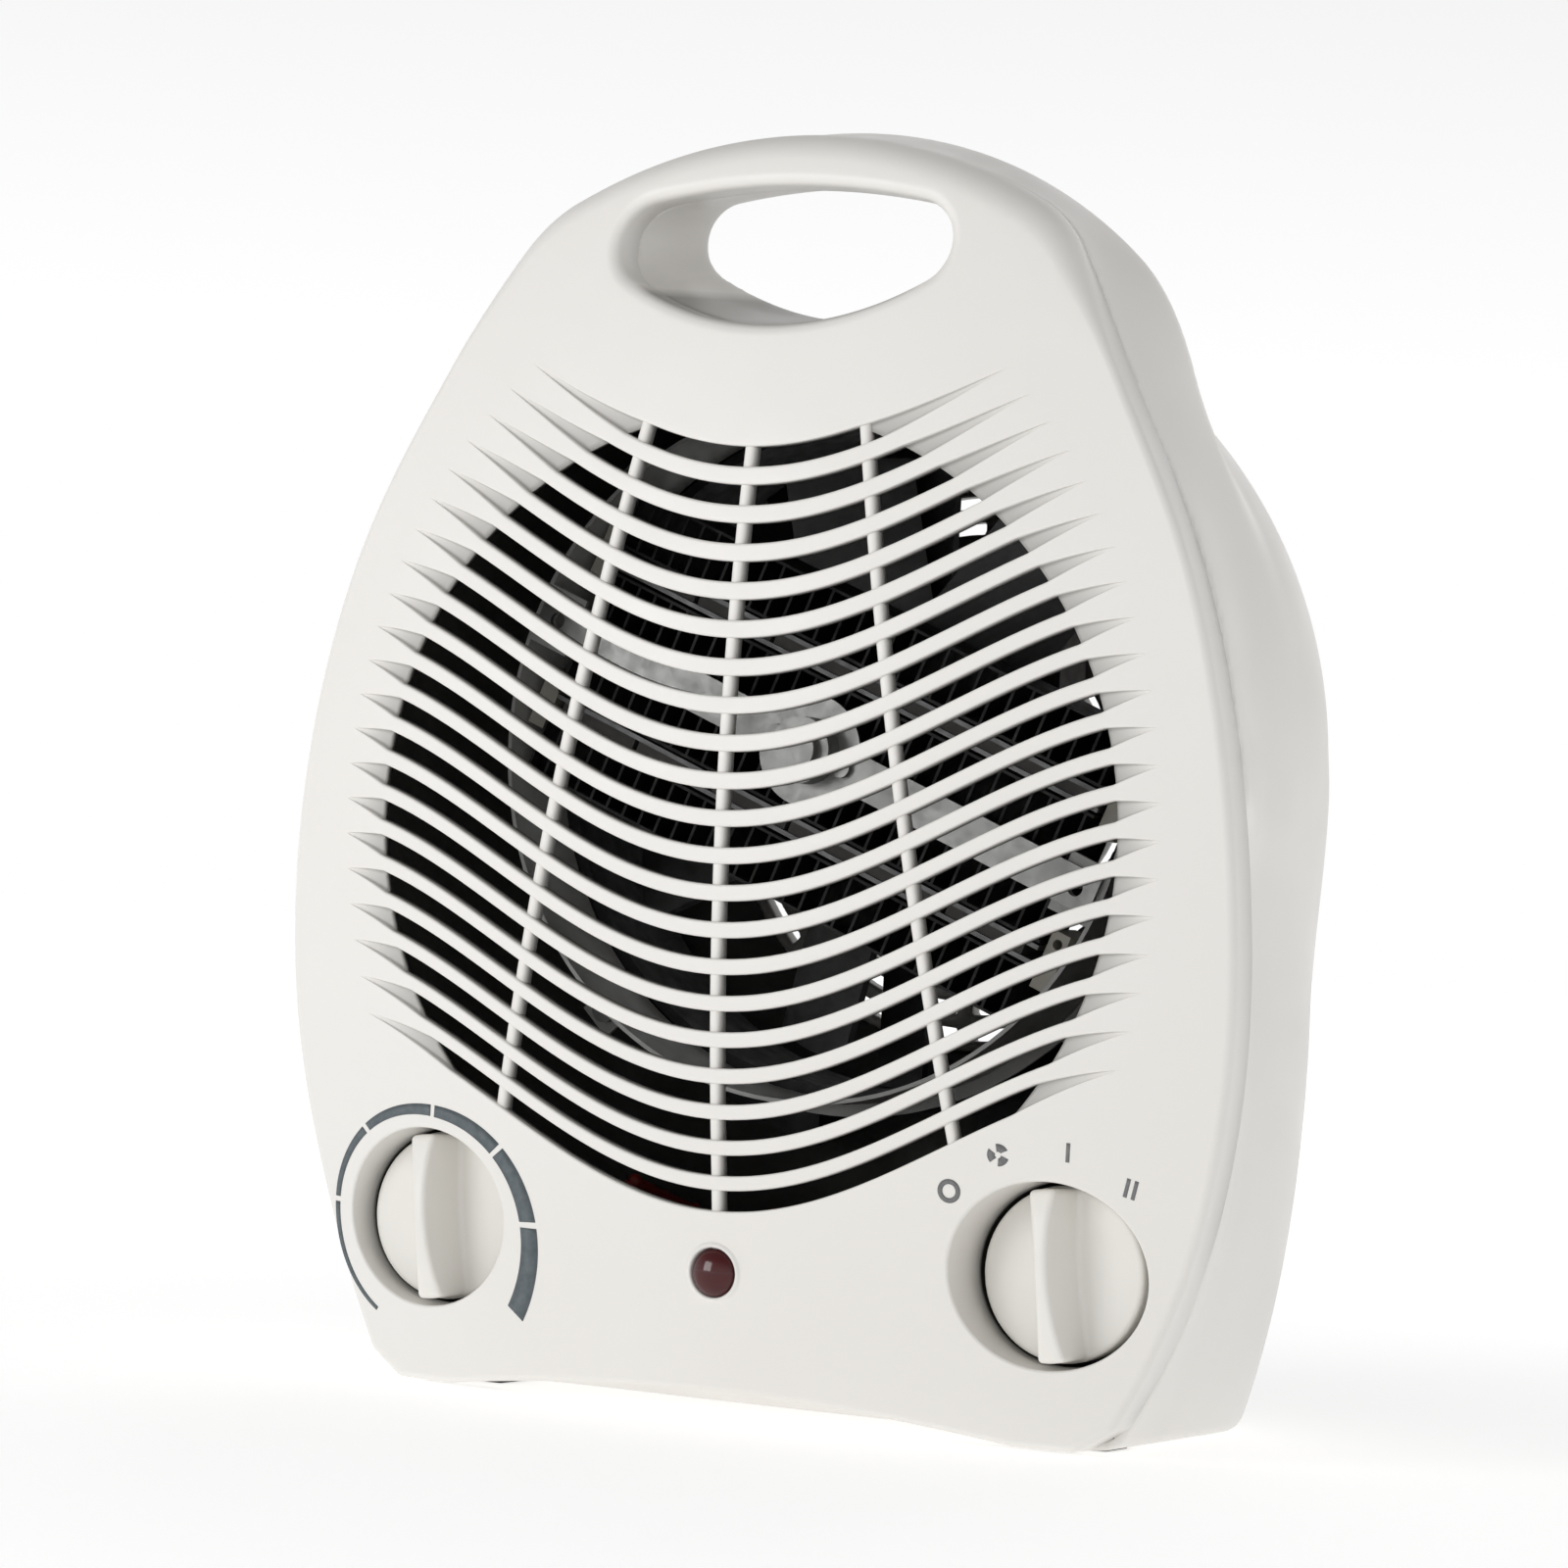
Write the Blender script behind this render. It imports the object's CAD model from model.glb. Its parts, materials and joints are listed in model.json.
import json
import math

import bmesh
import bpy
import numpy as np
from mathutils import Matrix, Vector
from mathutils.geometry import delaunay_2d_cdt


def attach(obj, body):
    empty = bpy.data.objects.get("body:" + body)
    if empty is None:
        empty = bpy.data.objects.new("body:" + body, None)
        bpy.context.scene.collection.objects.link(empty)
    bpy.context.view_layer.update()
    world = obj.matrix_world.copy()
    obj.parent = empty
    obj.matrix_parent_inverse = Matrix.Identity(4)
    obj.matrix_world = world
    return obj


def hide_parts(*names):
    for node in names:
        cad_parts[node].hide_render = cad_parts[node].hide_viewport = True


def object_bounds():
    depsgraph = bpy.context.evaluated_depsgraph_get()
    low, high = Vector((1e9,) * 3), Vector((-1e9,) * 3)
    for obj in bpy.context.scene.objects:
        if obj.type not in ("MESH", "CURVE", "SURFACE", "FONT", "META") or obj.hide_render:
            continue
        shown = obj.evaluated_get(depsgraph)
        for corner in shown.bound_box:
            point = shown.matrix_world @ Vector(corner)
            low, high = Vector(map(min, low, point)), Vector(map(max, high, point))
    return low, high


# Upright fan heater: a domed wave grille in an off-white moulding, two recessed knobs and a lamp.
# Shapes are worked out in millimetres, with +Z up and depths "at" measured back from the foremost
# point of the face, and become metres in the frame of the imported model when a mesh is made.

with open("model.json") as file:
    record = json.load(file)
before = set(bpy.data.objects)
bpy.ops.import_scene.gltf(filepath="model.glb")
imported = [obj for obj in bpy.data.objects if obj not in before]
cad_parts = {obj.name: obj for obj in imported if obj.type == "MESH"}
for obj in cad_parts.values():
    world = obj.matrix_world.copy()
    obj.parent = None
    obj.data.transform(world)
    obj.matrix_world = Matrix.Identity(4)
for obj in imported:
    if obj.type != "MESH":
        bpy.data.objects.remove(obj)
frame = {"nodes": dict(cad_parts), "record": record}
CAD_LOW, CAD_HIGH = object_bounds()
MM = 0.001
FRONT_Y = CAD_LOW.y / MM

# Face: part of a large ball
DOME_R, DOME_Z = 463.0, 127.5
WALL = 2.5
INNER_SKIN = WALL + 0.4
RIM_DEPTH, RIM_LIP, LIP_THICK = 8.0, 7.5, 1.6
FOOT_LIFT = 0.8

# Grille
OPEN_R, OPEN_Z = 79.0, 113.0
SLOTS, SLOT_H = 21, 3.9
SLOT_TOP_Z, SLOT_PITCH, SLOT_CROWDING = 198.8, 7.05, 1.7
WAVE_H, WAVE_HALF = 16.1, 96
TIP_X, TIP_Z = 88.0, 108.0

# Controls, each with the side that it stands on
CONTROLS = (("thermostat", -1), ("switch", 1))
KNOB_X, KNOB_Z = 67.3, 33.0
CUP_X, CUP_Z, CUP_FLOOR, CUP_SKIN = 19.1, 17.5, 28.0, 1.4
DISC_R, DISC_AT, DISC_BACK = 16.4, 21.6, 27.2
LAMP_Z, LAMP_R = 28.0, 4.6

# Handle opening: two arcs that bow the same way, joined by round ends
HOLE_MID_Z = 224.0
HOLE_RISE = 4.6
HOLE_END_X, HOLE_END_Z, HOLE_END_R = 27.2, 224.4, 8.5
HOLE_TOP_Z, HOLE_TOP_R = 88.6, 147
HOLE_LOW_Z, HOLE_LOW_R = 270.5, 62

# Fan housing
AXIS_Z = 128.5
REAR_OPEN_R = 58.4
DRUM_R = 96.2

# Openings of the back
UPPER_SCREW, LOWER_SCREW, SCREW_R = (56, 211), (34, 15), 4.2
GLAND_X, GLAND_Z, GLAND_R = -44, 24, 5.5


# ---------- meshes ----------

def place(points):
    """Millimetre points (x, at, z) as metres in the frame."""
    p = np.asarray(points, float).reshape(-1, 3).copy()
    p[:, 1] += FRONT_Y
    return p * MM


def make_object(name, points, faces, body, material, replaces=()):
    mesh = bpy.data.meshes.new(name)
    mesh.from_pydata(place(points).tolist(), [], [list(map(int, f)) for f in faces])
    mesh.validate()
    work = bmesh.new()
    work.from_mesh(mesh)
    bmesh.ops.recalc_face_normals(work, faces=work.faces)
    work.to_mesh(mesh)
    work.free()
    mesh.shade_smooth()
    obj = bpy.data.objects.new(name, mesh)
    bpy.context.collection.objects.link(obj)
    mesh.materials.append(material)
    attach(obj, body)
    if replaces:
        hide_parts(*replaces)
    return obj


class Skin:
    """Points and faces collected for one moulding."""

    def __init__(self):
        self.points, self.faces = [], []

    def ring(self, points):
        first = len(self.points)
        self.points.extend(np.asarray(points, float).tolist())
        return list(range(first, len(self.points)))

    def face(self, *corners):
        out = [c for i, c in enumerate(corners) if c != corners[i - 1]]
        if len(set(out)) > 2:
            self.faces.append(out)

    def band(self, a, b, closed=True):
        """Quads between two rows of points that run side by side."""
        n = len(a)
        for i in range(n if closed else n - 1):
            j = (i + 1) % n
            self.face(a[i], a[j], b[j], b[i])

    def fill(self, loops, spacing, depth, inside):
        """Triangles over the flat area bounded by loops, on the surface at depth(x, z)."""
        ids = [i for loop in loops for i in loop]
        flat = [(self.points[i][0], self.points[i][2]) for i in ids]
        edges, first = [], 0
        for loop in loops:
            n = len(loop)
            edges += [(first + i, first + (i + 1) % n) for i in range(n)]
            first += n
        lo, hi = np.min(flat, 0), np.max(flat, 0)
        gx, gz = np.meshgrid(np.arange(lo[0], hi[0], spacing), np.arange(lo[1], hi[1], spacing * 0.866))
        gx[1::2] += spacing / 2
        gx, gz = gx.ravel(), gz.ravel()
        keep = inside(gx, gz) < -0.45 * spacing
        gx, gz = gx[keep], gz[keep]
        known = np.array(flat)
        near = np.array([np.min(np.hypot(known[:, 0] - x, known[:, 1] - z)) for x, z in zip(gx, gz)])
        gx, gz = gx[near > 0.4 * spacing], gz[near > 0.4 * spacing]
        extra = self.ring(np.stack([gx, depth(gx, gz), gz], 1))
        coords = [Vector(p) for p in flat] + [Vector(p) for p in zip(gx, gz)]
        out = delaunay_2d_cdt(coords, edges, [], 1, 1e-7, True)
        corner = [(ids + extra)[src[0]] for src in out[3]]
        triangles = np.array(out[2])
        middle = np.array([tuple(v) for v in out[0]])[triangles].mean(1)
        # A triangle is kept where a level ray from its middle crosses the loops an odd number of times
        a, b = known[[e[0] for e in edges]], known[[e[1] for e in edges]]
        for tri, (x, z) in zip(triangles, middle):
            spans = (a[:, 1] > z) != (b[:, 1] > z)
            p, q = a[spans], b[spans]
            if np.sum(p[:, 0] + (z - p[:, 1]) / (q[:, 1] - p[:, 1]) * (q[:, 0] - p[:, 0]) > x) % 2:
                self.face(*[corner[c] for c in tri])


def outwards(loop):
    """Unit normals of a closed flat loop, pointing away from its middle."""
    step = np.roll(loop, -1, 0) - np.roll(loop, 1, 0)
    n = np.stack([step[:, 1], -step[:, 0]], 1)
    n /= np.linalg.norm(n, axis=1)[:, None]
    turn = np.sum(loop[:, 0] * np.roll(loop[:, 1], -1) - loop[:, 1] * np.roll(loop[:, 0], -1))
    return n if turn > 0 else -n


def radial_loop(field, middle, count, reach=140.0):
    """Closed loop where a flat field is zero, found along rays from a middle point."""
    angle = np.linspace(0, 2 * math.pi, count, endpoint=False)
    c, s = np.cos(angle), np.sin(angle)
    near, far = np.zeros(count), np.full(count, reach)
    for _ in range(40):
        r = (near + far) / 2
        out = field(middle[0] + r * c, middle[1] + r * s) > 0
        far, near = np.where(out, r, far), np.where(out, near, r)
    return np.stack([middle[0] + near * c, middle[1] + near * s], 1)


def even(loop, count):
    """The same closed loop with evenly spaced points."""
    p = np.vstack([loop, loop[:1]])
    s = np.concatenate([[0], np.cumsum(np.linalg.norm(np.diff(p, axis=0), axis=1))])
    t = np.linspace(0, s[-1], count, endpoint=False)
    return np.stack([np.interp(t, s, p[:, 0]), np.interp(t, s, p[:, 1])], 1)


def smooth_max(a, b, r):
    """The larger of two distances, rounded off with radius r where they cross."""
    h = np.clip(0.5 + (a - b) / (2 * r), 0, 1)
    return b + (a - b) * h + r * h * (1 - h)


def smooth_min(a, b, r):
    return -smooth_max(-a, -b, r)


def round_max(a, b, r):
    """Where two forms overlap, with the edge between them filleted to radius r."""
    return np.minimum(np.maximum(a, b), -r) + np.hypot(np.maximum(a + r, 0), np.maximum(b + r, 0))


def surface_net(field, low, high, step):
    """Points and quads of the surface where field(x, at, z) is zero, negative inside."""
    low, high = np.array(low, float), np.array(high, float)
    n = np.ceil((high - low) / step).astype(int) + 1
    axes = [low[i] + step * np.arange(n[i]) for i in range(3)]
    value = field(*np.meshgrid(*axes, indexing="ij"))
    solid = value < 0
    total = np.zeros(tuple(n - 1) + (3,))
    count = np.zeros(tuple(n - 1))
    inner = [slice(0, -1), slice(1, None)]
    quads = []
    for axis in range(3):
        others = [a for a in range(3) if a != axis]
        a_sel = [slice(None)] * 3
        b_sel = [slice(None)] * 3
        a_sel[axis], b_sel[axis] = inner
        va, vb = value[tuple(a_sel)], value[tuple(b_sel)]
        cross = solid[tuple(a_sel)] != solid[tuple(b_sel)]
        t = np.where(cross, va / np.where(cross, va - vb, 1), 0)
        for da in (0, 1):
            for db in (0, 1):
                pick = [slice(None)] * 3
                pick[others[0]], pick[others[1]] = inner[da], inner[db]
                c, tt = cross[tuple(pick)], t[tuple(pick)]
                count += c
                total[..., axis] += c * tt
                total[..., others[0]] += c * da
                total[..., others[1]] += c * db
        where = np.argwhere(cross)
        ok = (where[:, others[0]] > 0) & (where[:, others[1]] > 0)
        ok &= (where[:, others[0]] < n[others[0]] - 1) & (where[:, others[1]] < n[others[1]] - 1)
        where = where[ok]
        up = solid[tuple(a_sel)][tuple(where.T)]
        quads.append((where, others, up))
    index = np.full(tuple(n - 1), -1)
    active = count > 0
    index[active] = np.arange(active.sum())
    cells = np.argwhere(active)
    points = low + step * (cells + total[active] / count[active][:, None])
    faces = []
    for where, others, up in quads:
        e0, e1 = np.zeros(3, int), np.zeros(3, int)
        e0[others[0]], e1[others[1]] = 1, 1
        q = [index[tuple((where - d).T)] for d in (0 * e0, e0, e0 + e1, e1)]
        q = np.stack(q, 1)
        odd = (others == [0, 2])
        back = up if odd else ~up
        q[back] = q[back][:, ::-1]
        faces.append(q)
    # Slide every point onto the true surface
    for _ in range(4):
        f = field(*points.T)
        g = np.stack([(field(*(points + d).T) - field(*(points - d).T)) / 0.1 for d in np.eye(3) * 0.05], 1)
        move = (f / np.maximum(np.sum(g * g, 1), 0.05))[:, None] * g
        points = points - np.clip(move, -0.4 * step, 0.4 * step)
    return points, np.vstack(faces)


def lathe(profile, middle, count, closed=False):
    """Points and faces of a profile of (radius, at) turned about a line along the depth."""
    skin = Skin()
    angle = np.linspace(0, 2 * math.pi, count, endpoint=False)
    rows = []
    for r, at in profile:
        if r < 1e-6:
            i = skin.ring([[middle[0], at, middle[1]]])[0]
            rows.append([i] * count)
        else:
            rows.append(skin.ring(np.stack([middle[0] + r * np.cos(angle), np.full(count, at),
                                            middle[1] + r * np.sin(angle)], 1)))
    pairs = list(zip(rows, rows[1:])) + ([(rows[-1], rows[0])] if closed else [])
    for a, b in pairs:
        skin.band(a, b)
    return skin.points, skin.faces


def arc(centre, radius, start, end, steps):
    """Points on an arc of a profile, angles in degrees."""
    return [(centre[0] + radius * math.cos(math.radians(a)), centre[1] + radius * math.sin(math.radians(a)))
            for a in np.linspace(start, end, steps)]


# ---------- shapes of the heater ----------

def dome_at(x, z, set_back=0.0):
    """Depth of the face, or of a copy of it set back, at x and z. The ball straightens towards the foot."""
    starts_z, over, forward = 50, 47, 6.2
    ball = DOME_R - np.sqrt((DOME_R - set_back) ** 2 - x ** 2 - (z - DOME_Z) ** 2)
    return ball - forward * np.maximum((starts_z - z) / over, 0) ** 2


def front_outline(x, z):
    """Flat distance to the edge of the front moulding: two arcs up each side, a crown and an arched foot."""
    half_width, widest_z, upper_r, lower_r = 102, 88, 245, 170
    crown_z, crown_r, arch_h, arch_spread = 143.6, 103, 5.2, 850
    shoulder = 2.4 * np.exp(-((z - 200) / 26) ** 2)
    upper = np.hypot(np.abs(x) + (upper_r - half_width), z - widest_z) - upper_r + shoulder
    lower = np.hypot(np.abs(x) + (lower_r - half_width), z - widest_z) - lower_r
    side = np.where(z > widest_z, upper, lower)
    crown = np.where(z > 180, np.hypot(x, z - crown_z) - crown_r, -50)
    foot = np.maximum(FOOT_LIFT, arch_h - x ** 2 / arch_spread) - z
    return round_max(smooth_max(side, crown, 3.0), foot, 2.5)


def handle_hole(x, z):
    """Flat distance to the finger opening, negative inside it."""
    across, up = np.abs(x) - HOLE_END_X, z - HOLE_END_Z
    arcs = np.maximum(np.hypot(x, z - HOLE_TOP_Z) - HOLE_TOP_R, np.hypot(x, z - HOLE_LOW_Z) - HOLE_LOW_R)
    beyond_top = across * (HOLE_END_Z - HOLE_TOP_Z) - up * HOLE_END_X > 0
    beyond_low = HOLE_END_X * up + (HOLE_LOW_Z - HOLE_END_Z) * across > 0
    return np.where(beyond_top & beyond_low, np.hypot(across, up) - HOLE_END_R, arcs)


def slot_z(i, x):
    """Height of the middle of a slot at x. The slots close up slightly at both ends of the grille."""
    middle = SLOT_TOP_Z - SLOT_PITCH * i - SLOT_CROWDING * (1 - ((i - 10) / 10) ** 2)
    return middle - WAVE_H * np.cos(np.pi * x / WAVE_HALF)


def reach(i, across, half_x, half_z):
    """Sideways distance at which a slot, or a line beside its middle, leaves an oval."""
    x = np.linspace(0, 95, 3801)
    out = (x / half_x) ** 2 + ((slot_z(i, x) + across - OPEN_Z) / half_z) ** 2 > 1
    return x[np.argmax(out)] if out.any() else 95.0


def recess_gap(x, z, side):
    """Roughly how far a point of the face lies outside the skin of a knob recess, negative inside."""
    mean_r = 18
    across, up = (x - side * KNOB_X) / (CUP_X + CUP_SKIN), (z - KNOB_Z) / (CUP_Z + CUP_SKIN)
    return mean_r * np.hypot(across, up) - mean_r


def knob_cup(skin, side):
    """Rows of points down a knob recess, from the face to the skin behind it."""
    count, roll, shaft_hole_r, floor_back = 96, 0.6, 3.4, CUP_FLOOR + 2
    angle = np.linspace(0, 2 * math.pi, count, endpoint=False)
    c, s = np.cos(angle), np.sin(angle)

    def row(half_x, half_z, depth=None, set_back=0.0):
        x, z = side * KNOB_X + half_x * c, KNOB_Z + half_z * s
        at = dome_at(x, z, set_back) if depth is None else np.full(count, depth)
        return skin.ring(np.stack([x, at, z], 1))

    rows = []
    for a in np.linspace(0, math.pi / 2, 6):
        out, down = roll * (1 - math.sin(a)), roll * (1 - math.cos(a))
        rows.append(row(CUP_X + out, CUP_Z + out, None, down))
    return rows + [
        row(CUP_X - 0.3, CUP_Z - 0.2, CUP_FLOOR - 4.0),
        row(CUP_X - 0.4, CUP_Z - 0.3, CUP_FLOOR - 0.8),
        row(CUP_X - 1.2, CUP_Z - 1.1, CUP_FLOOR),
        row(shaft_hole_r, shaft_hole_r, CUP_FLOOR),
        row(shaft_hole_r, shaft_hole_r, floor_back),
        row(CUP_X + CUP_SKIN, CUP_Z + CUP_SKIN, floor_back),
        row(CUP_X + CUP_SKIN, CUP_Z + CUP_SKIN, None, WALL)]


def lamp_hole(skin):
    """Rows of points through the lamp's hole, with the low raised ring round it."""
    angle = np.linspace(0, 2 * math.pi, 64, endpoint=False)
    c, s = np.cos(angle), np.sin(angle)

    def row(r, set_back):
        x, z = r * c, LAMP_Z + r * s
        return skin.ring(np.stack([x, dome_at(x, z, set_back), z], 1))

    return [row(6.0, 0), row(5.75, -0.08), row(5.5, -0.35), row(5.2, -0.5), row(4.95, -0.42), row(4.75, -0.1),
            row(4.7, 0.8), row(4.7, 7.0), row(6.4, 7.0), row(6.4, WALL)]


def edge_roll(points):
    """How far the front rim is rolled over, inwards and back: softly at the crown, tightly down the sides."""
    side_roll, crown_starts_z, over = 1.5, 200, 38
    t = np.clip((points[:, 1] - crown_starts_z) / over, 0, 1)
    t = t * t * (3 - 2 * t)
    return side_roll + 4.3 * t, side_roll + 6.3 * t


def slot_strip(skin, i):
    """One slot and the grooves at its ends. Returns its loop on the face and its loop on the back."""
    half, edge, groove = SLOT_H / 2, 0.55, 1.7
    tip = reach(i, 0, TIP_X, TIP_Z)
    lanes = [-1, -0.5, 0, 0.5, 1]
    open_at = [max(reach(i, v * half, OPEN_R, OPEN_R), 4.0) for v in lanes]
    quarter = np.linspace(0, math.pi / 2, 5)

    def station(side, u, through):
        """Points across the slot. Side 0 is the opening; -1 and 1 are its grooves, with tips at u = 1."""
        shrink = 1.0 if side == 0 else 1 - u
        h = half * shrink
        e = edge * shrink
        d = groove * shrink ** 0.8

        def point(lane, offset, depth):
            x = open_at[lane] * u if side == 0 else side * (open_at[lane] + (tip - open_at[lane]) * u)
            z = slot_z(i, x) + lanes[lane] * h + offset
            return [x, dome_at(x, z) + depth, z]

        if shrink == 0:
            one = skin.ring([point(2, 0, 0)])[0]
            return {"low": [one] * 5, "top": [one] * 5, "floor": [one] * 5}
        sides = [skin.ring([point(lane, v * e * (1 - math.sin(a)), min(e * (1 - math.cos(a)), d))
                            for a in quarter]) for lane, v in ((0, -1), (4, 1))]
        made = {"low": sides[0], "top": sides[1], "floor": skin.ring([point(k, 0, d) for k in range(5)])}
        if through:
            made["deep"] = skin.ring([point(k, 0, INNER_SKIN) for k in range(5)])
        return made

    groove_steps = np.linspace(1, 0, 15)
    open_steps = np.linspace(-1, 1, 60)[1:-1]
    row = [station(-1, u, u == 0) for u in groove_steps]
    row += [station(0, u, True) for u in open_steps]
    row += [station(1, u, u == 0) for u in groove_steps[::-1]]
    for a, b in zip(row, row[1:]):
        through = "deep" in a and "deep" in b
        for wall, end in (("low", 0), ("top", 4)):
            side_a, side_b = a[wall] + [a["floor"][end]], b[wall] + [b["floor"][end]]
            if through:
                side_a, side_b = side_a + [a["deep"][end]], side_b + [b["deep"][end]]
            skin.band(side_a, side_b, closed=False)
        if not through:
            skin.band(a["floor"], b["floor"], closed=False)
    opened = [t for t in row if "deep" in t]
    for t in (opened[0], opened[-1]):
        skin.band(t["floor"], t["deep"], closed=False)
    face_loop = [t["low"][0] for t in row] + [t["top"][0] for t in row[-2:0:-1]]
    back_loop = [t["deep"][0] for t in opened] + opened[-1]["deep"][1:4]
    back_loop += [t["deep"][4] for t in opened[::-1]] + opened[0]["deep"][3:0:-1]
    return face_loop, back_loop


def front_moulding():
    """The domed face with its slots, grooves, handle opening and knob recesses, as one closed skin."""
    skin = Skin()
    outline = even(radial_loop(front_outline, (0, 120), 2400), 620)
    normal = outwards(outline)
    roll_in, roll_back = edge_roll(outline)

    def rim(inset, set_back):
        p = outline - normal * inset[:, None]
        return skin.ring(np.stack([p[:, 0], dome_at(p[:, 0], p[:, 1]) + set_back, p[:, 1]], 1))

    turns = np.linspace(0, math.pi / 2, 9)
    flat = np.full(len(outline), 1.0)
    beside_cup = np.minimum(*[recess_gap(outline[:, 0], outline[:, 1], side) for side in (-1, 1)])
    lip = np.clip(beside_cup - 1.0, WALL + 0.2, RIM_LIP)  # kept out of the recesses
    rows = [rim(roll_in * (1 - math.sin(a)), roll_back * (1 - math.cos(a))) for a in turns]
    rows.append(rim(0.0 * flat, RIM_DEPTH * flat))
    rows.append(rim(lip, RIM_DEPTH * flat))
    rows.append(rim(lip, (RIM_DEPTH - LIP_THICK) * flat))
    rows.append(rim(WALL * flat, (RIM_DEPTH - LIP_THICK) * flat))
    inner_edge = rim(roll_in * 0.2 + WALL, (WALL + 1) * flat)
    rows.append(inner_edge)
    for a, b in zip(rows, rows[1:]):
        skin.band(b, a)

    hole = even(radial_loop(handle_hole, (0, HOLE_MID_Z), 1200, 60), 200)
    hole_normal = outwards(hole)

    def collar(grow, set_back):
        p = hole + hole_normal * grow
        return skin.ring(np.stack([p[:, 0], dome_at(p[:, 0], p[:, 1]) + set_back, p[:, 1]], 1))

    soft = 2.6
    collars = [collar(soft * (1 - math.sin(a)), soft * (1 - math.cos(a))) for a in turns]
    collars += [collar(0, RIM_DEPTH), collar(WALL, RIM_DEPTH), collar(WALL + 0.3, WALL + 1)]
    for a, b in zip(collars, collars[1:]):
        skin.band(a, b)

    cups = [knob_cup(skin, side) for _, side in CONTROLS]
    lamp = lamp_hole(skin)
    for rows_down in cups + [lamp]:
        for a, b in zip(rows_down, rows_down[1:]):
            skin.band(a, b)

    strips = [slot_strip(skin, i) for i in range(SLOTS)]

    def clear(x, z, extra):
        d = front_outline(x, z) + extra
        d = np.maximum(d, -(handle_hole(x, z) - soft))
        for side in (-1, 1):
            d = np.maximum(d, -recess_gap(x, z, side))
        d = np.maximum(d, 6.2 - np.hypot(x, z - LAMP_Z))
        return d

    def off_slots(d, x, z, half_width):
        for i in range(SLOTS):
            beside = SLOT_H / 2 + 0.6 - np.abs(z - slot_z(i, x))
            d = np.maximum(d, np.where(np.abs(x) < half_width, beside, -5))
        return d

    def face_area(x, z):
        return off_slots(clear(x, z, 2.0), x, z, 92)

    def back_area(x, z):
        return off_slots(np.maximum(clear(x, z, 5.0), -(handle_hole(x, z) - 4)), x, z, 84)

    skin.fill([rows[0], collars[0], cups[0][0], cups[1][0], lamp[0]] + [s[0] for s in strips], 3.0,
              dome_at, face_area)
    skin.fill([inner_edge, collars[-1], cups[0][-1], cups[1][-1], lamp[-1]] + [s[1] for s in strips], 5.0,
              lambda x, z: dome_at(x, z) + INNER_SKIN, back_area)
    return skin


def rear_outside(x, at, z):
    """Field of the rear moulding's outer form, negative inside."""
    shaping, hole_length, upper_back, lower_back, drum_back = 20, 28, 47, 104, 118
    start = dome_at(x, z) + RIM_DEPTH
    t = np.clip((at - start) / shaping, 0, 1)
    t = t * t * (3 - 2 * t)
    rise = HOLE_RISE * np.clip((at - start) / hole_length, 0, 1)
    front = front_outline(x, z)
    # Upper body: two side arcs and a crown
    upper = np.hypot(np.abs(x) + 279, z - 85) - 372.6
    upper = smooth_max(upper, np.where(z > 165, np.hypot(x, z - 160) - 90, -50), 4.0)
    upper = smooth_max(front + (upper - front) * t, at - upper_back, 7.0)
    upper = smooth_max(upper, 118 - z, 8.0)
    # Lower body: two side arcs, standing on the foot and rounded like a barrel towards the back
    lower = np.hypot(np.abs(x) + 97.1, z - 80) - 191.6
    lower = smooth_max(lower, FOOT_LIFT - z, 2.0)
    lower = smooth_max(front + (lower - front) * t, at - lower_back, 7.0)
    barrel = np.where(z < 75, 98.4 - 7.1 * ((75 - z) / 75) ** 2, 98.4 - 3.8 * ((z - 75) / 51) ** 2)
    lower = smooth_max(lower, np.hypot(x, at - 39.7) - barrel, 5.0)
    lower = smooth_max(lower, z - 128, 8.0)
    # Drum of the fan: widest at its rim and drawn in towards the inlet, scooped out below the handle
    widest_at = 50
    r = np.hypot(x, z - AXIS_Z)
    s = np.clip((at - widest_at) / 62, 0, 1.2)
    ahead = DRUM_R - 8.2 * ((widest_at - at) / 38) ** 2
    drum_r = np.where(at < widest_at, ahead, DRUM_R - 30.8 * s ** 2.3)
    drum = (r - drum_r) / np.sqrt(1 + (1.024 * s ** 1.3) ** 2)
    drum = smooth_max(drum, at - drum_back, 2.5)
    scoop = np.maximum(np.hypot(x, z - HOLE_LOW_Z) - HOLE_LOW_R, 44.5 - at)
    drum = smooth_max(drum, -scoop, 5.0)
    body = smooth_min(smooth_min(upper, drum, 9.0), lower, 9.0)
    return smooth_max(body, -handle_hole(np.abs(x) + 0.35 * rise, z - rise), 3.0)


def rear_moulding_field(x, at, z):
    outside = rear_outside(x, at, z)
    skin = np.maximum(outside, -(outside + WALL))
    front_cut = dome_at(x, z) + RIM_DEPTH + 0.1 - at
    skin = np.maximum(skin, front_cut)
    r = np.hypot(x, z - AXIS_Z)
    skin = smooth_max(skin, -np.maximum(r - REAR_OPEN_R, 100 - at), 1.0)
    for side in (-1, 1):
        upper = np.maximum(np.hypot(x - side * UPPER_SCREW[0], z - UPPER_SCREW[1]) - SCREW_R, 30 - at)
        lower = np.maximum(np.hypot(x - side * LOWER_SCREW[0], z - LOWER_SCREW[1]) - SCREW_R, 60 - at)
        skin = smooth_max(smooth_max(skin, -upper, 0.8), -lower, 0.8)
    gland = np.maximum(np.hypot(x - GLAND_X, z - GLAND_Z) - GLAND_R, 60 - at)
    return np.maximum(skin, -gland)


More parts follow.
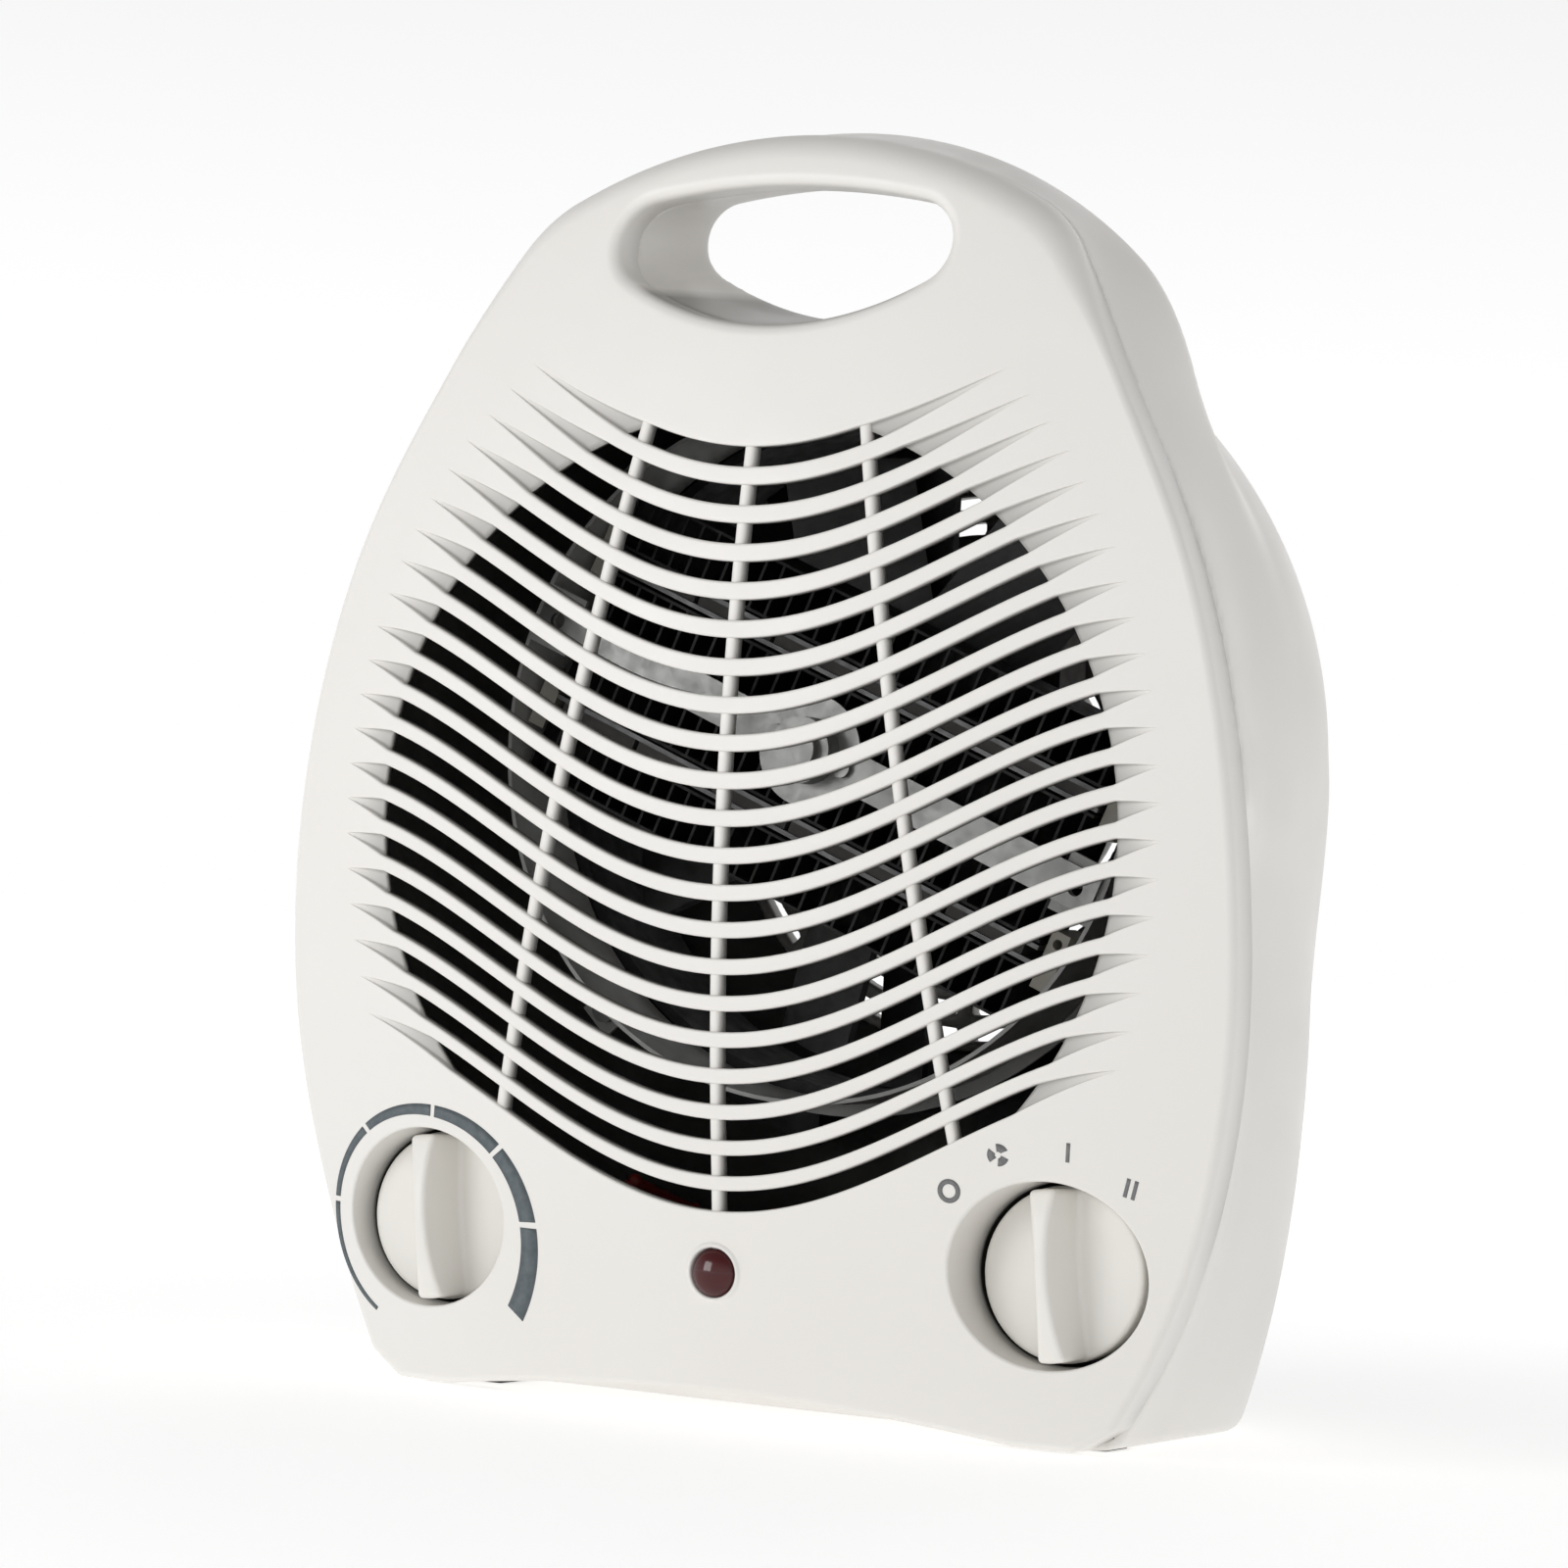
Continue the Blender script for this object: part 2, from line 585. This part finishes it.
def rear_grille_field(x, at, z):
    """A disc cut into rings and spokes, slightly domed like the back of the fan housing."""
    r = np.hypot(x, z - AXIS_Z)
    disc_r, thick, half_gap, half_spoke = 58.6, 4.6, 1.25, 1.6
    gaps, first_gap, pitch, sector = 9, 12, 5.4, math.pi / 4
    face = 117.0 - 1.2 * (r / 58) ** 2
    disc = round_max(round_max(r - disc_r, at - face, 0.8), face - thick - at, 0.5)
    nearest = np.clip(np.round((r - first_gap) / pitch), 0, gaps - 1)
    gap = np.abs(r - first_gap - pitch * nearest) - half_gap
    angle = np.arctan2(z - AXIS_Z, x)
    off = np.abs((angle + sector / 2) % sector - sector / 2)
    spoke = r * np.sin(off) - half_spoke
    return smooth_max(disc, -smooth_max(gap, -spoke, 0.6), 0.7)


def knob_field(x, at, z):
    """A disc with a tall raised grip, hollow behind around a hub for the shaft."""
    turn = math.radians(7)
    u = x * math.cos(turn) + z * math.sin(turn)
    v = -x * math.sin(turn) + z * math.cos(turn)
    r = np.hypot(x, z)
    disc = round_max(round_max(r - DISC_R, DISC_AT - at, 0.7), at - DISC_BACK, 0.5)
    lift = DISC_AT - at
    crest_r, crest_sunk = 48, 37.7
    crest = np.sqrt(np.maximum(crest_r ** 2 - v ** 2, 1)) - crest_sunk
    waist = 1.35 + 1.2 * (v / 16) ** 2
    flank = np.abs(u) - waist - 1.8 * np.clip(1 - lift / 10, 0, 1.3) ** 1.6
    grip = round_max(round_max(flank, lift - crest, 0.9), r - DISC_R + 0.3, 0.9)
    grip = np.maximum(grip, -lift - 2)
    body = smooth_min(disc, grip, 0.9)
    hollow_r, hub_r, bore_r = 14.6, 4.9, 3.05
    hollow = np.maximum(r - hollow_r, DISC_AT + 1.5 - at)
    hub = np.maximum(r - hub_r, DISC_AT - at)
    body = np.maximum(body, -np.maximum(hollow, -hub))
    return np.maximum(body, -np.maximum(r - bore_r, DISC_AT + 0.5 - at))


def on_face(outline, lift=0.06):
    """A row of flat points laid just in front of the face."""
    x, z = np.array(outline).T
    return np.stack([x, dome_at(x, z) - lift, z], 1)


def film(skin, low, high):
    """A strip of print between two rows of (x, z) points, with a thin edge down to the face."""
    rows = [skin.ring(on_face(low, -0.05)), skin.ring(on_face(low)), skin.ring(on_face(high)),
            skin.ring(on_face(high, -0.05))]
    for a, b in zip(rows, rows[1:] + rows[:1]):
        skin.band(a, b, closed=False)
    for k in (0, -1):
        skin.face(*[row[k] for row in rows])


def ring_points(middle, radius, start, end, steps):
    """Points round a middle; angles in degrees clockwise from the top."""
    a = np.radians(np.linspace(start, end, steps))
    return np.stack([middle[0] + radius * np.sin(a), middle[1] + radius * np.cos(a)], 1)


# ---------- materials ----------

class Look:
    """A Principled material with helpers for the nodes that vary it."""

    def __init__(self, name, colour, roughness, metallic=0.0, **sockets):
        self.material = bpy.data.materials.new(name)
        self.material.use_nodes = True
        self.tree = self.material.node_tree
        self.shader = self.tree.nodes["Principled BSDF"]
        self.colour, self.roughness = colour, roughness
        self.shader.inputs["Base Color"].default_value = (*colour, 1)
        self.shader.inputs["Roughness"].default_value = roughness
        self.shader.inputs["Metallic"].default_value = metallic
        for socket, value in sockets.items():
            self.shader.inputs[socket.replace("_", " ")].default_value = value
        self.where = self.add("ShaderNodeTexCoord").outputs["Object"]
        self.bump_height = None

    def add(self, kind, **values):
        node = self.tree.nodes.new(kind)
        for key, value in values.items():
            if hasattr(node, key):
                setattr(node, key, value)
            else:
                node.inputs[key.replace("_", " ")].default_value = value
        return node

    def link(self, a, b):
        self.tree.links.new(a, b)

    def noise(self, scale, detail=3.0, roughness=0.5, stretch=(1, 1, 1)):
        mapping = self.add("ShaderNodeMapping")
        mapping.inputs["Scale"].default_value = stretch
        self.link(self.where, mapping.inputs["Vector"])
        noise = self.add("ShaderNodeTexNoise", Scale=scale, Detail=detail, Roughness=roughness)
        self.link(mapping.outputs["Vector"], noise.inputs["Vector"])
        return noise.outputs["Fac"]

    def spread(self, value, low, high, start=0.3, end=0.7):
        """A 0 to 1 value moved into a range."""
        node = self.add("ShaderNodeMapRange")
        for key, v in (("From Min", start), ("From Max", end), ("To Min", low), ("To Max", high)):
            node.inputs[key].default_value = v
        self.link(value, node.inputs["Value"])
        return node.outputs["Result"]

    def folded(self):
        """The place as |x|, y and z, so that a mask covers both sides alike."""
        split = self.add("ShaderNodeSeparateXYZ")
        self.link(self.where, split.inputs["Vector"])
        aside = self.add("ShaderNodeMath", operation="ABSOLUTE")
        self.link(split.outputs["X"], aside.inputs[0])
        return aside.outputs["Value"], split.outputs["Y"], split.outputs["Z"]

    def product(self, first, *others):
        """The values multiplied together."""
        for other in others:
            both = self.add("ShaderNodeMath", operation="MULTIPLY")
            self.link(first, both.inputs[0])
            self.link(other, both.inputs[1])
            first = both.outputs["Value"]
        return first

    def tint(self, value, other):
        """Varies the base colour towards another colour."""
        mix = self.add("ShaderNodeMix", data_type="RGBA")
        mix.inputs["A"].default_value = (*self.colour, 1)
        mix.inputs["B"].default_value = (*other, 1)
        self.link(value, mix.inputs["Factor"])
        self.link(mix.outputs["Result"], self.shader.inputs["Base Color"])

    def shade(self, value, other):
        """Mixes another colour over whatever already drives the base colour."""
        socket = self.shader.inputs["Base Color"]
        mix = self.add("ShaderNodeMix", data_type="RGBA")
        self.link(socket.links[0].from_socket, mix.inputs["A"])
        mix.inputs["B"].default_value = (*other, 1)
        self.link(value, mix.inputs["Factor"])
        self.link(mix.outputs["Result"], socket)

    def polish(self, value, low, high):
        self.link(self.spread(value, low, high), self.shader.inputs["Roughness"])

    def bump(self, value, distance, strength=1.0):
        node = self.add("ShaderNodeBump")
        node.inputs["Distance"].default_value = distance
        node.inputs["Strength"].default_value = strength
        self.link(value, node.inputs["Height"])
        if self.bump_height is not None:
            self.link(self.bump_height, node.inputs["Normal"])
        self.bump_height = node.outputs["Normal"]
        self.link(self.bump_height, self.shader.inputs["Normal"])


def knob_gaps(look):
    """0 to 1: deep in the two knob recesses, behind the faces of the discs."""
    x, y, z = look.folded()
    flat = look.add("ShaderNodeCombineXYZ")
    look.link(x, flat.inputs["X"])
    look.link(z, flat.inputs["Z"])
    away = look.add("ShaderNodeVectorMath", operation="DISTANCE")
    away.inputs[1].default_value = (KNOB_X * MM, 0, KNOB_Z * MM)
    look.link(flat.outputs["Vector"], away.inputs[0])
    inside = look.spread(away.outputs["Value"], 1, 0, (CUP_X + 0.3) * MM, (CUP_X + 0.5) * MM)
    face = CAD_LOW.y + DISC_AT * MM
    deep = look.spread(y, 0, 1, face + 2.6 * MM, face + 3.9 * MM)
    floor = CAD_LOW.y + (CUP_FLOOR + 1) * MM
    front = look.spread(y, 1, 0, floor, floor + 0.5 * MM)
    return look.product(inside, deep, front)


def groove_depths(look):
    """0 to 0.8 down the sides of the slots and grooves, within the oval that their tips reach.

    It has no far limit, so on the rear moulding it takes in the back as well.
    """
    oval_x, oval_z, shallow, full = 90, 110, 0.35, 2.0
    ball = look.add("ShaderNodeVectorMath", operation="DISTANCE")
    look.link(look.where, ball.inputs[0])
    ball.inputs[1].default_value = (0, CAD_LOW.y + DOME_R * MM, DOME_Z * MM)
    deep = look.spread(ball.outputs["Value"], 0.8, 0, (DOME_R - full) * MM, (DOME_R - shallow) * MM)
    oval = look.add("ShaderNodeVectorMath", operation="MULTIPLY_ADD")
    look.link(look.where, oval.inputs[0])
    oval.inputs[1].default_value = (1 / (oval_x * MM), 0, 1 / (oval_z * MM))
    oval.inputs[2].default_value = (0, 0, -OPEN_Z / oval_z)
    reach_out = look.add("ShaderNodeVectorMath", operation="LENGTH")
    look.link(oval.outputs["Vector"], reach_out.inputs[0])
    inside = look.spread(reach_out.outputs["Value"], 1, 0, 0.97, 1.0)
    # Clear of the knob recesses: a height that falls by a quarter of the distance from the middle
    clear_z, slope = 38, -0.25
    x, _, z = look.folded()
    height = look.add("ShaderNodeMath", operation="MULTIPLY_ADD")
    look.link(x, height.inputs[0])
    height.inputs[1].default_value = slope
    look.link(z, height.inputs[2])
    above = look.spread(height.outputs["Value"], 0, 1, clear_z * MM, (clear_z + 1) * MM)
    return look.product(inside, deep, above)


def shell_plastic(name="shell_plastic", grooved=True):
    look = Look(name, (0.80, 0.785, 0.755), 0.42, Specular_IOR_Level=0.45)
    look.tint(look.spread(look.noise(9, 4), 0, 1), (0.775, 0.755, 0.72))
    look.polish(look.noise(60, 5), 0.36, 0.50)
    look.bump(look.noise(1900, 2), 0.00002, 0.35)
    look.bump(look.noise(22, 2), 0.0004, 0.10)
    if grooved:
        look.shade(groove_depths(look), (0.22, 0.215, 0.20))
    look.shade(knob_gaps(look), (0.02, 0.02, 0.018))
    return look.material


def knob_plastic():
    look = Look("knob_plastic", (0.80, 0.785, 0.745), 0.38, Specular_IOR_Level=0.5)
    look.tint(look.spread(look.noise(30, 4), 0, 1), (0.775, 0.755, 0.71))
    look.polish(look.noise(120, 5), 0.30, 0.46)
    look.bump(look.noise(2300, 2), 0.00002, 0.3)
    return look.material


def scale_ink():
    look = Look("scale_ink", (0.075, 0.095, 0.105), 0.55)
    look.tint(look.spread(look.noise(700, 3), 0, 1), (0.11, 0.13, 0.14))
    look.polish(look.noise(900, 3), 0.45, 0.65)
    return look.material


def legend_ink():
    look = Look("legend_ink", (0.13, 0.13, 0.135), 0.6)
    look.tint(look.spread(look.noise(900, 3), 0, 1), (0.19, 0.19, 0.19))
    look.polish(look.noise(900, 3), 0.5, 0.7)
    return look.material


def red_lens():
    look = Look("red_lens", (0.075, 0.002, 0.003), 0.10, Coat_Weight=0.15, Coat_Roughness=0.03,
                Specular_IOR_Level=0.35)
    look.shader.inputs["Transmission Weight"].default_value = 0.25
    look.tint(look.spread(look.noise(400, 2), 0, 1), (0.06, 0.001, 0.002))
    look.polish(look.noise(500, 2), 0.05, 0.14)
    return look.material


def metal(name, colour, other, rough, grain=400, stretch=(1, 1, 1)):
    look = Look(name, colour, sum(rough) / 2, 1.0)
    look.tint(look.spread(look.noise(grain / 12, 5, 0.6, stretch), 0, 1), other)
    look.polish(look.noise(grain, 4, 0.6, stretch), *rough)
    look.bump(look.noise(grain * 3, 2, 0.5, stretch), 0.00002, 0.4)
    return look.material


def matt(name, colour, other, rough, grain=300):
    look = Look(name, colour, sum(rough) / 2)
    look.tint(look.spread(look.noise(grain / 6, 4), 0, 1), other)
    look.polish(look.noise(grain, 4), *rough)
    look.bump(look.noise(grain * 3, 3), 0.00005, 0.5)
    return look.material


MATERIALS = {
    "shell_plastic": shell_plastic(),
    "knob_plastic": knob_plastic(),
    "dark_plastic": matt("dark_plastic", (0.009, 0.009, 0.010), (0.018, 0.018, 0.018), (0.55, 0.75)),
    "pale_plastic": matt("pale_plastic", (0.42, 0.40, 0.35), (0.50, 0.47, 0.41), (0.4, 0.55)),
    "red_lens": red_lens(),
    "zinc_steel": metal("zinc_steel", (0.33, 0.33, 0.32), (0.25, 0.25, 0.245), (0.34, 0.5)),
    "ground_steel": metal("ground_steel", (0.66, 0.66, 0.67), (0.55, 0.55, 0.57), (0.15, 0.3)),
    "core_steel": metal("core_steel", (0.22, 0.21, 0.20), (0.14, 0.13, 0.13), (0.45, 0.65)),
    "dark_aluminium": metal("dark_aluminium", (0.05, 0.049, 0.048), (0.03, 0.03, 0.03), (0.5, 0.7)),
    "bare_aluminium": metal("bare_aluminium", (0.20, 0.20, 0.20), (0.14, 0.14, 0.14), (0.45, 0.6)),
    "ptc_ceramic": matt("ptc_ceramic", (0.05, 0.048, 0.046), (0.08, 0.075, 0.07), (0.7, 0.9)),
    "steatite": matt("steatite", (0.42, 0.40, 0.35), (0.36, 0.34, 0.29), (0.55, 0.75)),
    "coil_winding": matt("coil_winding", (0.30, 0.10, 0.03), (0.42, 0.17, 0.06), (0.3, 0.45), 900),
    "sintered_bronze": metal("sintered_bronze", (0.45, 0.30, 0.14), (0.33, 0.21, 0.10), (0.4, 0.6)),
    "foot_rubber": matt("foot_rubber", (0.022, 0.022, 0.022), (0.04, 0.039, 0.037), (0.75, 0.9)),
    "wire_cover": matt("wire_cover", (0.28, 0.03, 0.02), (0.22, 0.02, 0.02), (0.35, 0.5)),
    "label_foil": metal("label_foil", (0.66, 0.67, 0.68), (0.58, 0.59, 0.60), (0.3, 0.42), 500, (1, 1, 12)),
}


def dress_nodes():
    """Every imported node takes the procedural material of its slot. The heater's ring is brighter."""
    for part in frame["record"]["subparts"]:
        mesh = frame["nodes"][part["node"]].data
        mesh.materials.clear()
        mesh.materials.append(MATERIALS[part["material_slot"]])
    ring = frame["nodes"]["heater_ring"].data
    ring.materials[0] = matt("galvanised", (0.50, 0.50, 0.48), (0.36, 0.36, 0.35), (0.35, 0.5))


# ---------- the pieces ----------

def lay(name, shape, body, slot, replaces=(), material=None):
    points, faces = (shape.points, shape.faces) if isinstance(shape, Skin) else shape
    return make_object(name, points, faces, body, material or MATERIALS[slot], replaces)


def darken_inside(obj, points, material):
    """The faces on the inner skin of the rear moulding take a second material."""
    inner = rear_outside(*np.asarray(points).T) < -WALL / 2
    obj.data.materials.append(material)
    for face in obj.data.polygons:
        face.material_index = int(all(inner[v] for v in face.vertices))


def weigh_normals(obj):
    """Lets the broad faces set the shading, so that the fillets beside them look round."""
    mod = obj.modifiers.new("normals", "WEIGHTED_NORMAL")
    mod.mode = "FACE_AREA"
    mod.keep_sharp = False


def grille_ribs():
    """Three upright bars behind the wave slots."""
    skin = Skin()
    top = 194
    for foot_x, foot_z, head_x in ((0, 32, 0), (-49.6, 52, -22.5), (49.6, 52, 22.5)):
        z = np.linspace(foot_z, top, 60)
        x = foot_x + (head_x - foot_x) * (z - foot_z) / (top - foot_z)
        section = [(-1.1, 3.6), (-1.1, 1.5), (-0.9, 1.0), (-0.45, 0.75), (0.45, 0.75), (0.9, 1.0), (1.1, 1.5),
                   (1.1, 3.6)]
        rows = [skin.ring(np.stack([x + off, dome_at(x, z) + deep, z], 1)) for off, deep in section]
        for a, b in zip(rows, rows[1:] + rows[:1]):
            skin.band(a, b, closed=False)
        for k in (0, -1):
            skin.face(*[row[k] for row in rows])
    return skin


def thermostat_scale():
    """Six printed arcs round the left knob that thicken clockwise."""
    skin = Skin()
    middle = (-KNOB_X, KNOB_Z)
    gaps = [-148, -86, -43, 6, 51, 89, 127]
    first, last, half_gap, nearest = gaps[0], gaps[-1], 1.3, 19.9
    for start, end in zip(gaps, gaps[1:]):
        start += 0 if start == first else half_gap
        end -= 0 if end == last else half_gap
        a = np.linspace(start, end, 30)
        radius = nearest + 2.5 * np.sin(np.pi / 2 * np.clip((10 - a) / 100, 0, 1)) ** 2
        radius = radius + 6.0 * np.clip((a - 10) / 117, 0, 1) ** 1.5
        thick = np.interp(a, (first, -86, 0, last), (0.8, 1.2, 2.2, 4.6))
        s, c = np.sin(np.radians(a)), np.cos(np.radians(a))
        low, high = (np.stack([middle[0] + r * s, middle[1] + r * c], 1) for r in (radius, radius + thick))
        film(skin, low, high)
    return skin


def switch_legends():
    """Printed marks round the right knob: off, fan only, one bar and two bars."""
    skin = Skin()
    middle = (KNOB_X, KNOB_Z)

    def spot(angle, radius=23.6):
        a = math.radians(angle)
        return middle[0] + radius * math.sin(a), middle[1] + radius * math.cos(a)

    off_at, fan_at, one_at, two_at = -52.5, -22.6, 10.5, 42.7
    bar_length, bar_half = 3.6, 0.36
    off = spot(off_at)
    film(skin, ring_points(off, 1.3, 0, 360, 41), ring_points(off, 2.25, 0, 360, 41))
    fan = spot(fan_at)
    for turn in (0, 120, 240):
        film(skin, ring_points(fan, 0.6, turn - 25, turn + 55, 9),
             ring_points(fan, 2.1, turn - 12, turn + 62, 9))
    for angle, offsets in ((one_at, (0,)), (two_at, (-0.75, 0.75))):
        x, z = spot(angle)
        lean = math.radians(angle * 0.35)
        along = np.array([math.sin(lean), math.cos(lean)])
        side = np.array([along[1], -along[0]])
        for offset in offsets:
            start = np.array([x, z]) + side * offset - along * bar_length / 2
            line = start + along * np.linspace(0, bar_length, 6)[:, None]
            film(skin, line - side * bar_half, line + side * bar_half)
    return skin


def tube(middle, inner, outer, front, back):
    """A short sleeve with softened lips."""
    lip = 0.3
    return lathe([(inner, front + lip), (inner + lip, front), (outer - lip, front), (outer, front + lip),
                  (outer, back - lip), (outer - lip, back), (inner + lip, back), (inner, back - lip)],
                 middle, 48, closed=True)


def shaft(middle):
    """A plain round shaft with a retaining collar near its inner end."""
    r, front, back, bevel = 3.0, 22.7, 44.0, 0.3
    collar_r, collar_front, collar_back, edge = 4.5, 40.0, 42.0, 0.2
    return lathe([(0.0, front), (r - bevel, front), (r, front + bevel), (r, collar_front),
                  (collar_r - edge, collar_front), (collar_r, collar_front + edge),
                  (collar_r, collar_back - edge), (collar_r - edge, collar_back),
                  (r, collar_back), (r, back - bevel), (r - bevel, back), (0.0, back)], middle, 48)


def joined(*shapes):
    """Several shapes as one skin."""
    skin = Skin()
    for points, faces in shapes:
        first = len(skin.points)
        skin.points.extend(np.asarray(points).tolist())
        skin.faces.extend([[int(c) + first for c in f] for f in faces])
    return skin


def build():
    dress_nodes()
    shell = lay("front_shell", front_moulding(), "housing", "shell_plastic", ["front_housing"])
    weigh_normals(shell)
    lay("front_grille_ribs", grille_ribs(), "housing", "shell_plastic", ["front_housing"],
        shell_plastic("rib_plastic", False))
    rear = surface_net(rear_moulding_field, (-105, 4, -3), (105, 121, 253), 1.4)
    shell = lay("rear_shell", rear, "housing", "shell_plastic", ["rear_housing"])
    inside = matt("shell_inside", (0.05, 0.049, 0.046), (0.07, 0.068, 0.063), (0.6, 0.8))
    darken_inside(shell, rear[0], inside)
    grille = surface_net(rear_grille_field, (-60, 110, AXIS_Z - 60), (60, 119, AXIS_Z + 60), 0.8)
    lay("rear_grille", grille, "housing", "shell_plastic", ["rear_housing"])
    wells = [tube((side * x, z), 4.0, 5.6, 36, back) for side in (-1, 1)
             for (x, z), back in ((UPPER_SCREW, 46), (LOWER_SCREW, 103))]
    lay("screw_wells", joined(*wells), "housing", "shell_plastic", ["rear_housing"])
    knob = surface_net(knob_field, (-19, 9, -19), (19, 29, 19), 0.45)
    for name, side in CONTROLS:
        points = knob[0] + [side * KNOB_X, 0, KNOB_Z]
        lay(name + "_grip_knob", (points, knob[1]), name + "_dial", "knob_plastic", [name + "_knob"])
    for name, side in CONTROLS:
        turned = shaft((side * KNOB_X, KNOB_Z))
        lay(name + "_round_shaft", turned, name + "_dial", "zinc_steel", [name + "_shaft"])
    lay("thermostat_scale_print", thermostat_scale(), "housing", "shell_plastic", material=scale_ink())
    lay("switch_legend_print", switch_legends(), "housing", "shell_plastic", material=legend_ink())
    lens_at = float(dome_at(0, LAMP_Z))
    bulge, sunk, lens_back = 2.5, 0.6, 18.0
    profile = [(0.0, lens_at + sunk - bulge)]
    profile += [(LAMP_R * math.sin(a), lens_at + sunk - bulge * math.cos(a))
                for a in np.linspace(0.1, math.pi / 2, 14)]
    profile += [(LAMP_R, lens_back), (0.0, lens_back)]
    lay("lamp_dome", lathe(profile, (0, LAMP_Z), 64), "housing", "red_lens", ["lamp_lens"])


# ---------- the stage ----------

def floor_white():
    """White floor that brightens with distance, as on a lit studio sweep."""
    look = Look("floor", (0.97, 0.97, 0.97), 0.9)
    away = look.add("ShaderNodeVectorMath", operation="LENGTH")
    look.link(look.where, away.inputs[0])
    look.shader.inputs["Emission Color"].default_value = (1, 1, 1, 1)
    glow = look.spread(away.outputs["Value"], 0.42, 0.68, 0.1, 1.2)
    look.link(glow, look.shader.inputs["Emission Strength"])
    return look.material


def light_sky():
    """A white studio, brightest at eye level, dimmer overhead and very slightly so to the right."""
    world = bpy.data.worlds.new("studio")
    world.use_nodes = True
    nodes, links = world.node_tree.nodes, world.node_tree.links
    split = nodes.new("ShaderNodeSeparateXYZ")
    links.new(nodes.new("ShaderNodeTexCoord").outputs["Generated"], split.inputs["Vector"])
    both = nodes.new("ShaderNodeMath")
    both.operation = "MULTIPLY"
    links.new(both.outputs["Value"], nodes["Background"].inputs["Strength"])
    for i, axis, (start, end), (from_level, to_level) in ((0, "Z", (0.1, 0.6), (1.0, 0.36)),
                                                          (1, "X", (0.0, 0.8), (1.0, 0.97))):
        level = nodes.new("ShaderNodeMapRange")
        level.inputs["From Min"].default_value, level.inputs["From Max"].default_value = start, end
        level.inputs["To Min"].default_value, level.inputs["To Max"].default_value = from_level, to_level
        links.new(split.outputs[axis], level.inputs["Value"])
        links.new(level.outputs["Result"], both.inputs[i])
    nodes["Background"].inputs["Color"].default_value = (1, 1, 1, 1)
    bpy.context.scene.world = world


def stage():
    mesh = bpy.data.meshes.new("floor")
    size = 6.0
    corners = [(-size, -size, 0), (size, -size, 0), (size, size, 0), (-size, size, 0)]
    mesh.from_pydata(corners, [], [(0, 1, 2, 3)])
    floor = bpy.data.objects.new("floor", mesh)
    bpy.context.collection.objects.link(floor)
    mesh.materials.append(floor_white())
    light_sky()
    heater_middle = Vector((0, 0, 0.12))
    for name, place_at, size, power in (("key", (-1.1, -1.7, 0.45), 0.8, 10),
                                        ("back", (-0.3, 1.6, 1.0), 1.2, 3)):
        data = bpy.data.lights.new(name, "AREA")
        data.size, data.energy = size, power
        lamp = bpy.data.objects.new(name, data)
        bpy.context.collection.objects.link(lamp)
        lamp.location = place_at
        lamp.rotation_euler = (heater_middle - Vector(place_at)).to_track_quat("-Z", "Y").to_euler()
    bpy.context.scene.view_settings.view_transform = "Standard"
    bpy.context.scene.view_settings.look = "None"


def camera():
    """The viewing angle: 28 degrees round to the right, level, from one metre, and slightly rolled."""
    azimuth, elevation, distance, roll = math.radians(28.01), math.radians(-0.98), 0.997, math.radians(3.4)
    target = Vector((0.01400, CAD_LOW.y, 0.12107))
    back = Vector((math.sin(azimuth) * math.cos(elevation), -math.cos(azimuth) * math.cos(elevation),
                   math.sin(elevation)))
    right = (-back).cross(Vector((0, 0, 1))).normalized()
    up = right.cross(-back)
    turned_right = right * math.cos(roll) + up * math.sin(roll)
    turned_up = up * math.cos(roll) - right * math.sin(roll)
    data = bpy.data.cameras.new("camera")
    data.sensor_width, data.lens = 36.0, 122.3
    data.clip_start, data.clip_end = 0.05, 50
    cam = bpy.data.objects.new("camera", data)
    bpy.context.collection.objects.link(cam)
    turn = Matrix((turned_right, turned_up, back)).transposed()
    cam.matrix_world = Matrix.Translation(target + back * distance) @ turn.to_4x4()
    bpy.context.scene.camera = cam


build()
stage()
camera()
